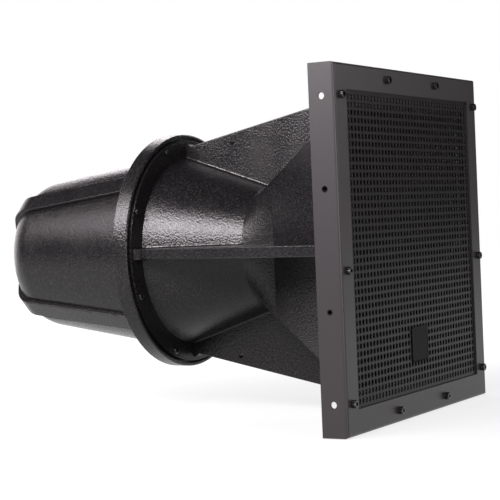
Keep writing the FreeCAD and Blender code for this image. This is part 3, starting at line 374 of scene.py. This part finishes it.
POWDERED = {
    # colour, roughness, gloss, grain and relief in millimetres
    "frame_coat": ((0.0105, 0.0092, 0.0099), 0.36, 0.36, 0.9, 0.03),
    "grille_coat": ((0.0055, 0.005, 0.0052), 0.34, 0.12, 0.9, 0.03),
    "badge_black": ((0.003, 0.003, 0.003), 0.3, 0.02, 0.9, 0.01),
    "black_steel": ((0.003, 0.003, 0.003), 0.2, 0.5, 0.5, 0.01),
}
for name, (colour, rough, gloss, grain, depth) in POWDERED.items():
    FINISHES[name] = powder_coat(name, colour, rough, gloss, grain * MM, depth * MM)
print("powder coats:", len(POWDERED))

# %% [markdown]
# ## Bare and plated metal
# Rivet nuts, plates and screws are zinc plated or stainless, the inserts are brass. A metal's
# colour is in its reflection, so Metallic is full, and fine turning marks are noise squeezed
# along the axis the piece was turned on.

# %% Metals
TARNISH_SIZE = 20 * MM
TARNISH = 0.8
MARK_SIZE = 0.6 * MM
MARK_SQUEEZE = (1, 6, 1)
MARK_SMOOTHER, MARK_ROUGHER = 0.06, 0.08


def metal(name, colour, rough, depth):
    finish = Finish(name, Metallic=1.0)
    cloud = finish.noise(TARNISH_SIZE, detail=3)
    marks = finish.noise(MARK_SIZE, detail=2, stretch=MARK_SQUEEZE)
    finish.drive("Base Color", finish.colours(cloud, colour, [TARNISH * c for c in colour]))
    finish.drive("Roughness", finish.spread(marks, *NOISE_SPAN, rough - MARK_SMOOTHER,
                                            rough + MARK_ROUGHER))
    finish.relief(marks, depth)
    return finish.material


METALS = {
    # colour, roughness, relief in millimetres
    "zinc_steel": ((0.55, 0.56, 0.58), 0.32, 0.01),
    "bright_steel": ((0.62, 0.6, 0.57), 0.25, 0.01),
    "brass": ((0.72, 0.5, 0.2), 0.28, 0.01),
    "copper": ((0.72, 0.33, 0.16), 0.3, 0.06),
}
for name, (colour, rough, depth) in METALS.items():
    FINISHES[name] = metal(name, colour, rough, depth * MM)
print("metals:", len(METALS))

# %% [markdown]
# ## What is inside
# Nobody sees the driver or the crossover unless the model is taken apart, but each piece is still
# finished as what it is: pressed paper, woven and resin-dipped cloth, sintered ferrite, a green
# board, wound film, cement and stacked steel sheets.

# %% Inner finishes
STRIPE_SCALE = 0.314
INNER_SWING = 0.05


def mottled(name, first, second, size, rough, depth):
    finish = Finish(name)
    spots = finish.noise(size, detail=4, roughness=0.6)
    share = finish.spread(spots, *DRIFT_SPAN)
    finish.drive("Base Color", finish.colours(share, first, second))
    finish.drive("Roughness", finish.spread(spots, *NOISE_SPAN, rough - INNER_SWING,
                                            rough + INNER_SWING))
    finish.relief(spots, depth)
    return finish.material


def layered(name, first, second, pitch, rough, depth, along):
    """Even stripes across one direction, for stacked sheets or a weave."""
    finish = Finish(name)
    spot = finish.node("ShaderNodeMapping", {}, finish.place(), Scale=(1 / pitch,) * 3)
    stripes = finish.node("ShaderNodeTexWave", {"bands_direction": along}, result=1, Vector=spot,
                          Scale=STRIPE_SCALE, Distortion=0.4, Detail=1.0)
    finish.drive("Base Color", finish.colours(stripes, first, second))
    finish.drive("Roughness", finish.spread(stripes, 0, 1, rough - INNER_SWING,
                                            rough + INNER_SWING))
    finish.relief(stripes, depth)
    return finish.material


MOTTLED = {
    # two colours, spot size in millimetres, roughness, relief in millimetres
    "black_foam": ((0.008, 0.008, 0.008), (0.02, 0.02, 0.02), 0.8, 0.9, 0.2),
    "black_rubber": ((0.01, 0.01, 0.01), (0.018, 0.018, 0.018), 4, 0.6, 0.02),
    "surround_rubber": ((0.012, 0.012, 0.012), (0.02, 0.02, 0.02), 6, 0.5, 0.02),
    "cone_paper": ((0.018, 0.017, 0.016), (0.035, 0.033, 0.03), 2, 0.75, 0.15),
    "ferrite": ((0.04, 0.04, 0.042), (0.09, 0.088, 0.09), 1.5, 0.65, 0.06),
    "ceramic": ((0.62, 0.6, 0.55), (0.74, 0.72, 0.68), 1.2, 0.8, 0.08),
    "film_capacitor": ((0.42, 0.3, 0.05), (0.52, 0.38, 0.08), 8, 0.25, 0.01),
    "diaphragm_film": ((0.42, 0.28, 0.1), (0.5, 0.35, 0.14), 5, 0.35, 0.01),
    "board_green": ((0.02, 0.12, 0.04), (0.03, 0.18, 0.06), 3, 0.35, 0.03),
}
LAYERED = {
    # two colours, pitch in millimetres, roughness, relief in millimetres, direction
    "spider_cloth": ((0.35, 0.22, 0.06), (0.5, 0.34, 0.12), 0.8, 0.8, 0.1, "DIAGONAL"),
    "lamination": ((0.16, 0.16, 0.17), (0.3, 0.3, 0.31), 1.0, 0.4, 0.1, "X"),
}
for name, (first, second, size, rough, depth) in MOTTLED.items():
    FINISHES[name] = mottled(name, first, second, size * MM, rough, depth * MM)
for name, (first, second, pitch, rough, depth, along) in LAYERED.items():
    FINISHES[name] = layered(name, first, second, pitch * MM, rough, depth * MM, along)
print("finishes:", len(FINISHES))

# %% Give every solid its finish
SLOT_OF = {part["node"]: part["material_slot"] for part in frame["record"]["subparts"]}
for name, solid in NODES.items():
    for slot in solid.material_slots:
        slot.material = FINISHES[SLOT_OF[name]]
print("finished solids:", len(NODES))

# %% [markdown]
# ## From a bmesh to a piece
# Every new piece ends the same way: its mesh goes into an object at the origin, it gets its finish,
# the solid it stands for is hidden, and it rides on the housing. Round pieces all start as half
# a section, a few points given as radius and setback, which is spun once round the Y axis.

# %% Helpers for new pieces
def to_piece(name, shape, slot, node, body="housing"):
    mesh = bpy.data.meshes.new(name)
    shape.to_mesh(mesh)
    shape.free()
    mesh.materials.append(FINISHES[slot])
    piece = bpy.data.objects.new(name, mesh)
    bpy.context.scene.collection.objects.link(piece)
    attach(piece, body)
    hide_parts(node)
    print(name, sum(len(face.vertices) - 2 for face in mesh.polygons), "triangles")
    return piece


def spun(section, steps):
    """Spin (radius, setback) points in millimetres once round the Y axis."""
    shape = bmesh.new()
    points = [shape.verts.new((radius * MM, setback * MM, 0)) for radius, setback in section]
    lines = [shape.edges.new(pair) for pair in zip(points, points[1:])]
    bmesh.ops.spin(shape, geom=points + lines, axis=(0, 1, 0), cent=(0, 0, 0), steps=steps,
                   angle=2 * math.pi, use_merge=True)
    bmesh.ops.remove_doubles(shape, verts=shape.verts, dist=MM / 1000)
    bmesh.ops.recalc_face_normals(shape, faces=shape.faces)
    return shape


def everything(shape):
    return shape.verts[:] + shape.edges[:] + shape.faces[:]


def copied_to(shape, places):
    """Leave one copy of the shape at each place, given from where it stands."""
    first = everything(shape)
    for place in places:
        copy = bmesh.ops.duplicate(shape, geom=first)["geom"]
        points = [part for part in copy if isinstance(part, bmesh.types.BMVert)]
        bmesh.ops.translate(shape, verts=points, vec=place)
    old = [part for part in first if isinstance(part, bmesh.types.BMVert)]
    bmesh.ops.delete(shape, geom=old, context="VERTS")


print("helpers ready")

# %% [markdown]
# ## The grille
# The mesh is punched steel sheet with some 1,600 round holes in straight rows. Cutting them with
# booleans would be slow and would leave ragged faces. Here one cell is made first: the rim of a
# hole, extruded outwards, with its far points slid onto a square. Squares tile, so copies of the
# cell make a row, copies of the row make the sheet, and the doubled points are merged. Twelve
# points are enough for a hole that is seen from a step away. Punching rounds each hole's front
# edge and the coat fills it, so every rim point at the front also gets a small chamfer, which is
# what catches the light.

# %% One cell of the mesh
HOLE = 5.8 * MM
HOLE_BREAK = 0.3 * MM
PITCH = 8 * MM
ROWS = 40
RIM_POINTS = 12
grille_low, grille_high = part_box("grille")


def onto_square(point, half):
    """Slide a point straight out from the middle until it lies on a square."""
    return point * (half / max(abs(point.x), abs(point.z)))


def grown(shape, edges):
    """Extrude edges and give the new points."""
    made = bmesh.ops.extrude_edge_only(shape, edges=edges)["geom"]
    return [part for part in made if isinstance(part, bmesh.types.BMVert)]


def grille_cell():
    shape = bmesh.new()
    turn = Matrix.Rotation(math.radians(90), 4, "X") @ Matrix.Rotation(math.pi / RIM_POINTS, 4, "Z")
    bmesh.ops.create_circle(shape, segments=RIM_POINTS, radius=HOLE / 2, matrix=turn)
    for point in shape.verts:
        point.co.y = HOLE_BREAK
    for point in grown(shape, shape.edges[:]):
        point.co *= 1 + 2 * HOLE_BREAK / HOLE
        point.co.y = 0
    rim = [edge for edge in shape.edges if all(end.co.y < MM / 100 for end in edge.verts)]
    for point in grown(shape, rim):
        point.co = onto_square(point.co, PITCH / 2)
    return shape


print("holes:", ROWS * ROWS)

# %% Rows of cells make the sheet
def on_outline(edge, half):
    return all(max(abs(end.co.x), abs(end.co.z)) > half - MM / 100 for end in edge.verts)


def mesh_sheet():
    shape = grille_cell()
    steps = [(index - (ROWS - 1) / 2) * PITCH for index in range(ROWS)]
    copied_to(shape, [(step, 0, 0) for step in steps])
    copied_to(shape, [(0, 0, step) for step in steps])
    bmesh.ops.remove_doubles(shape, verts=shape.verts, dist=MM / 100)
    reach = ROWS * PITCH / 2
    border = [edge for edge in shape.edges if edge.is_boundary and on_outline(edge, reach)]
    for point in grown(shape, border):
        point.co = point.co * (grille_high.x / reach)
    bmesh.ops.translate(shape, verts=shape.verts, vec=(0, grille_low.y, 0))
    back = bmesh.ops.extrude_face_region(shape, geom=shape.faces[:])["geom"]
    for part in back:
        if isinstance(part, bmesh.types.BMVert):
            part.co.y = grille_high.y
    bmesh.ops.recalc_face_normals(shape, faces=shape.faces)
    return shape


to_piece("perforated_grille", mesh_sheet(), "grille_coat", "grille")

# %% [markdown]
# ## The ten socket cap screws
# Black M5 screws hold the frame's face. The solids give head, shank and a plain socket. The real
# head has a broken top edge, a straight knurl round its side for the fingers and a hexagon socket.
# One spin gives a plain turned screw. Then the points of the socket slide onto a hexagon, and
# every other point of the side sinks a little, which makes the knurl.

# %% One socket cap screw
HEAD_RADIUS = 4.25
HEAD_HEIGHT = 5.0
SHANK_RADIUS = 2.5
SHANK_LENGTH = 14.0
SOCKET_FLATS = 4.0
SOCKET_ROUND = 2.1
TOP_BREAK = 0.45
KNURL_STEPS = 48
KNURL_DEPTH = 0.14
CLOSE = 0.01


def radius_of(point):
    return math.hypot(point.co.x, point.co.z) / MM


def set_radius(point, radius):
    """Slide a point to this distance from the Y axis, in millimetres."""
    share = radius / radius_of(point)
    point.co.x *= share
    point.co.z *= share


def hexagon_reach(point, flats):
    """How far a hexagon's outline is from its middle in the direction of a point."""
    turn = math.atan2(point.co.z, point.co.x) % (math.pi / 3) - math.pi / 6
    return flats / 2 / math.cos(turn)


def socket_screw():
    shape = spun([(0, -HEAD_HEIGHT / 2), (SOCKET_ROUND, -HEAD_HEIGHT / 2),
                  (SOCKET_ROUND, -HEAD_HEIGHT), (HEAD_RADIUS - TOP_BREAK, -HEAD_HEIGHT),
                  (HEAD_RADIUS, TOP_BREAK - HEAD_HEIGHT), (HEAD_RADIUS, -TOP_BREAK),
                  (HEAD_RADIUS - TOP_BREAK / 2, 0), (SHANK_RADIUS, 0),
                  (SHANK_RADIUS, SHANK_LENGTH - TOP_BREAK),
                  (SHANK_RADIUS - TOP_BREAK, SHANK_LENGTH), (0, SHANK_LENGTH)], KNURL_STEPS)
    for point in shape.verts:
        if abs(radius_of(point) - SOCKET_ROUND) < CLOSE:
            set_radius(point, hexagon_reach(point, SOCKET_FLATS))
        elif abs(radius_of(point) - HEAD_RADIUS) < CLOSE:
            step = round(math.atan2(point.co.z, point.co.x) / (2 * math.pi) * KNURL_STEPS)
            set_radius(point, HEAD_RADIUS - KNURL_DEPTH * (step % 2))
    return shape


screws = socket_screw()
print("points of a socket cap screw:", len(screws.verts))

# %% Ten of them
frame_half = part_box("front_frame")[1].x
SCREW_INSET = 13 * MM
SCREW_ROW = frame_half - SCREW_INSET
TOP_AND_BOTTOM_GAP = 128 * MM
SIDE_TOP_INSET = 33 * MM
SIDE_MIDDLE = -21 * MM
SIDE_BOTTOM_INSET = 34 * MM
SIDE_HEIGHTS = (frame_half - SIDE_TOP_INSET, SIDE_MIDDLE, SIDE_BOTTOM_INSET - frame_half)
screw_places = [(side * TOP_AND_BOTTOM_GAP / 2, 0, level * SCREW_ROW)
                for level in (1, -1) for side in (-1, 1)]
screw_places += [(side * SCREW_ROW, 0, height) for side in (-1, 1) for height in SIDE_HEIGHTS]
copied_to(screws, screw_places)
to_piece("socket_cap_screws", screws, "black_steel", "front_screws")

# %% [markdown]
# ## The eight flange screws
# Pan head screws with a cross recess pull the horn's rear flange against the cover. They are spun
# the same way. The recess is a ring of points whose distance from the middle follows a cross: as
# far as the arm is long, but never further than the arm is wide.

# %% One pan head screw
PAN_RADIUS = 4.0
PAN_HEIGHT = 2.6
PAN_SHANK = 2.0
PAN_STEPS = 24
CROSS_ARM = 1.9
CROSS_HALF_WIDTH = 0.5
CROSS_DEPTH = 1.5
CROSS_TAPER = 0.75
RECESS_ROUND = 2.0
RECESS_SLOPE = 0.2
RECESS_LIP = 0.05
PAN_DOME = ((0.62, 0.1), (0.85, 0.5), (0.97, 1.2))  # shares of the radius, and setbacks
PAN_BREAK = 0.4
pan_low, pan_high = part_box("flange_screws")


def cross_reach(point):
    """How far a cross's outline is from its middle in the direction of a point."""
    turn = math.atan2(point.co.z, point.co.x) % (math.pi / 2)
    off_axis = max(math.sin(min(turn, math.pi / 2 - turn)), 0.01)
    return min(CROSS_ARM, CROSS_HALF_WIDTH / off_axis)


def pan_screw():
    length = (pan_high.y - pan_low.y) / MM
    dome = [(PAN_RADIUS * share, setback) for share, setback in PAN_DOME]
    shape = spun([(0, CROSS_DEPTH), (RECESS_ROUND, CROSS_DEPTH - RECESS_SLOPE),
                  (RECESS_ROUND, RECESS_LIP), *dome, (PAN_RADIUS, PAN_HEIGHT),
                  (PAN_SHANK, PAN_HEIGHT), (PAN_SHANK, length - PAN_BREAK),
                  (PAN_SHANK - PAN_BREAK, length), (0, length)], PAN_STEPS)
    for point in shape.verts:
        if abs(radius_of(point) - RECESS_ROUND) < CLOSE and point.co.y < PAN_HEIGHT * MM:
            taper = CROSS_TAPER if point.co.y > CROSS_DEPTH / 2 * MM else 1.0
            set_radius(point, cross_reach(point) * taper)
    return shape


screws = pan_screw()
print("points of a pan head screw:", len(screws.verts))

# %% Eight of them
FLANGE_SCREW_CIRCLE = 126 * MM
FLANGE_SCREWS = 8


def around_axis(radius, count, setback):
    """Places evenly spaced on a circle, half a step from the sides."""
    turns = [2 * math.pi * (index + 0.5) / count for index in range(count)]
    return [(radius * math.cos(turn), setback, radius * math.sin(turn)) for turn in turns]


copied_to(screws, around_axis(FLANGE_SCREW_CIRCLE, FLANGE_SCREWS, pan_low.y))
to_piece("pan_head_screws", screws, "black_steel", "flange_screws")

# %% [markdown]
# ## The bare badge
# A small moulded plate sits on the lower part of the mesh. It stays blank. Its corners are round,
# its edge is a soft rim, and the field inside lies a little lower: bevel the four short edges,
# inset the front face and push it in, then soften what is left.

# %% Badge plate
BADGE_CORNER = 4 * MM
BADGE_RIM = 1.6 * MM
BADGE_SINK = 0.35 * MM
BADGE_SOFT = 0.4 * MM
FACING = 0.9
badge_low, badge_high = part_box("badge_plate")


def softened(shape, edges, radius, segments):
    return bmesh.ops.bevel(shape, geom=edges, offset=radius, offset_type="OFFSET",
                           segments=segments, profile=0.5, affect="EDGES", material=-1)


def badge():
    shape = bmesh.new()
    size = badge_high - badge_low
    bmesh.ops.create_cube(shape, size=1)
    bmesh.ops.scale(shape, verts=shape.verts, vec=size)
    bmesh.ops.translate(shape, verts=shape.verts, vec=(badge_low + badge_high) / 2)
    short = [edge for edge in shape.edges
             if abs(edge.verts[0].co.y - edge.verts[1].co.y) > size.y / 2]
    softened(shape, short, BADGE_CORNER, 6)
    front = [face for face in shape.faces if face.normal.y < -FACING]
    bmesh.ops.inset_region(shape, faces=front, thickness=BADGE_RIM, depth=0)
    front = [face for face in shape.faces if face.normal.y < -FACING and len(face.verts) > 4]
    bmesh.ops.translate(shape, verts=front[0].verts, vec=(0, BADGE_SINK, 0))
    front_edges = [edge for edge in shape.edges
                   if all(end.co.y < badge_low.y + MM / 100 for end in edge.verts)
                   and any(abs(face.normal.y) < 0.1 for face in edge.link_faces)]
    softened(shape, front_edges, BADGE_SOFT, 3)
    return shape


to_piece("badge_blank", badge(), "badge_black", "badge_plate")
